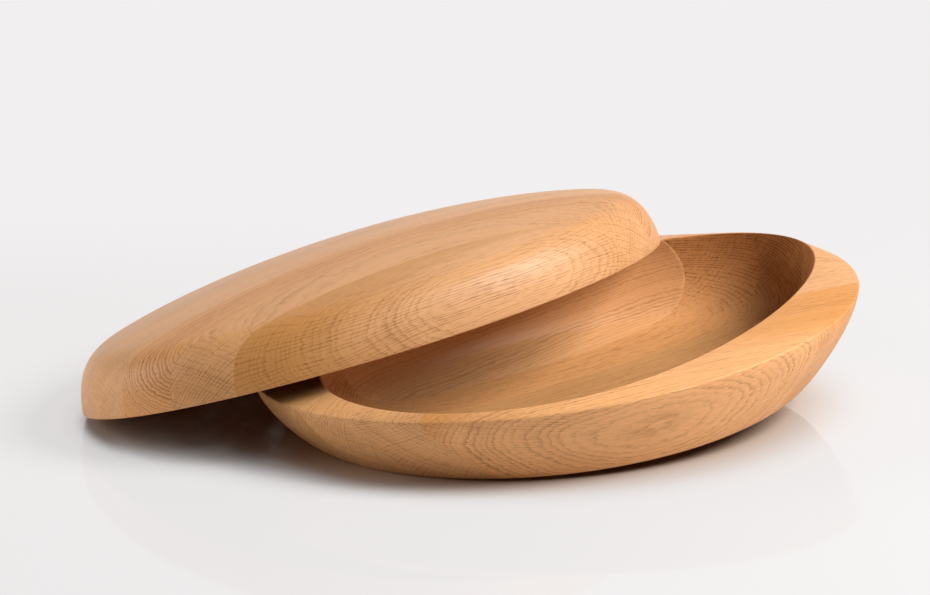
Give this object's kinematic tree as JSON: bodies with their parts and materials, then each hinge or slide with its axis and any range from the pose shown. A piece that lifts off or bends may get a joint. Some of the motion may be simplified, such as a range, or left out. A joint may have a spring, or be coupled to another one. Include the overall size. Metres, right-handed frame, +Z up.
{
  "type": "lidded bowl",
  "caption": "Deep oval oak bowl with a domed oval lid leaning on its rim, both halves carved from glued-up boards.",
  "frame": {"origin": "on the table, at the middle of the sanded flat of the bowl's fourth board", "axes": "+Z up from the table; +X to the right and +Y away from the viewer, as pictured"},
  "size_m": [0.4913, 0.3348, 0.1248],
  "materials": {
    "bowl_oak_1": "oiled",
    "bowl_oak_2": "oiled",
    "bowl_oak_3": "oiled",
    "bowl_oak_4": "oiled",
    "bowl_oak_5": "oiled",
    "bowl_oak_6": "oiled",
    "bowl_oak_7": "oiled",
    "lid_oak_1": "oiled",
    "lid_oak_2": "oiled",
    "lid_oak_3": "oiled",
    "lid_oak_4": "oiled",
    "lid_oak_5": "oiled",
    "lid_oak_6": "oiled",
    "lid_oak_7": "oiled"
  },
  "bodies": {
    "bowl": {"bowl_board_1": "bowl_oak_1", "bowl_board_2": "bowl_oak_2", "bowl_board_3": "bowl_oak_3", "bowl_board_4": "bowl_oak_4", "bowl_board_5": "bowl_oak_5", "bowl_board_6": "bowl_oak_6", "bowl_board_7": "bowl_oak_7"},
    "lid": {"lid_board_1": "lid_oak_1", "lid_board_2": "lid_oak_2", "lid_board_3": "lid_oak_3", "lid_board_4": "lid_oak_4", "lid_board_5": "lid_oak_5", "lid_board_6": "lid_oak_6", "lid_board_7": "lid_oak_7"}
  },
  "joints": [
    {"name": "lid_lift", "type": "slide", "parent": "bowl", "child": "lid", "axis": [0, 0, 1], "range_m": [0, 0.12]}
  ]
}
